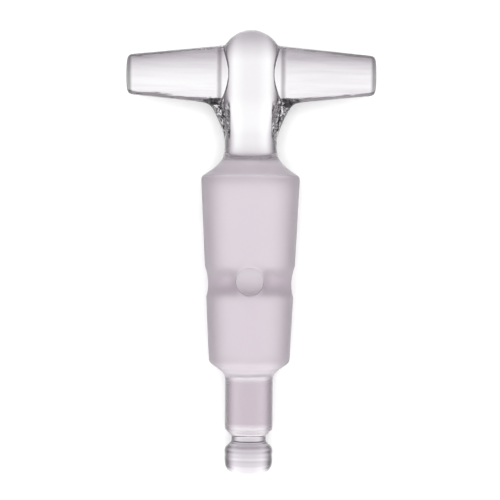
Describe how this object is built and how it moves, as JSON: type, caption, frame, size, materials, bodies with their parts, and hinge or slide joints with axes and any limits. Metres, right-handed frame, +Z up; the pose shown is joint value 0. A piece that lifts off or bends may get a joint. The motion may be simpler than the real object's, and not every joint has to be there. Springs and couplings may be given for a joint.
{
  "type": "stopcock plug",
  "caption": "Solid glass plug of a three-way stopcock: T handle, ground taper with a T-shaped bore, plain tail and grooved bead tip.",
  "frame": {"origin": "on the surface that the plug lies on, under the middle of its box", "axes": "+Y along the lying plug towards its handle, X along the handle's arms, +Z up, out of the branch bore. The plug's own axis rises towards the handle by 2.862 degrees, half the taper's angle"},
  "size_m": [0.0364, 0.0648, 0.0145],
  "materials": {
    "borosilicate_glass": "clear fire-polished handle and bead, finely ground taper, satin tail"
  },
  "bodies": {
    "root": {"stopcock_plug": "borosilicate_glass"}
  },
  "joints": []
}
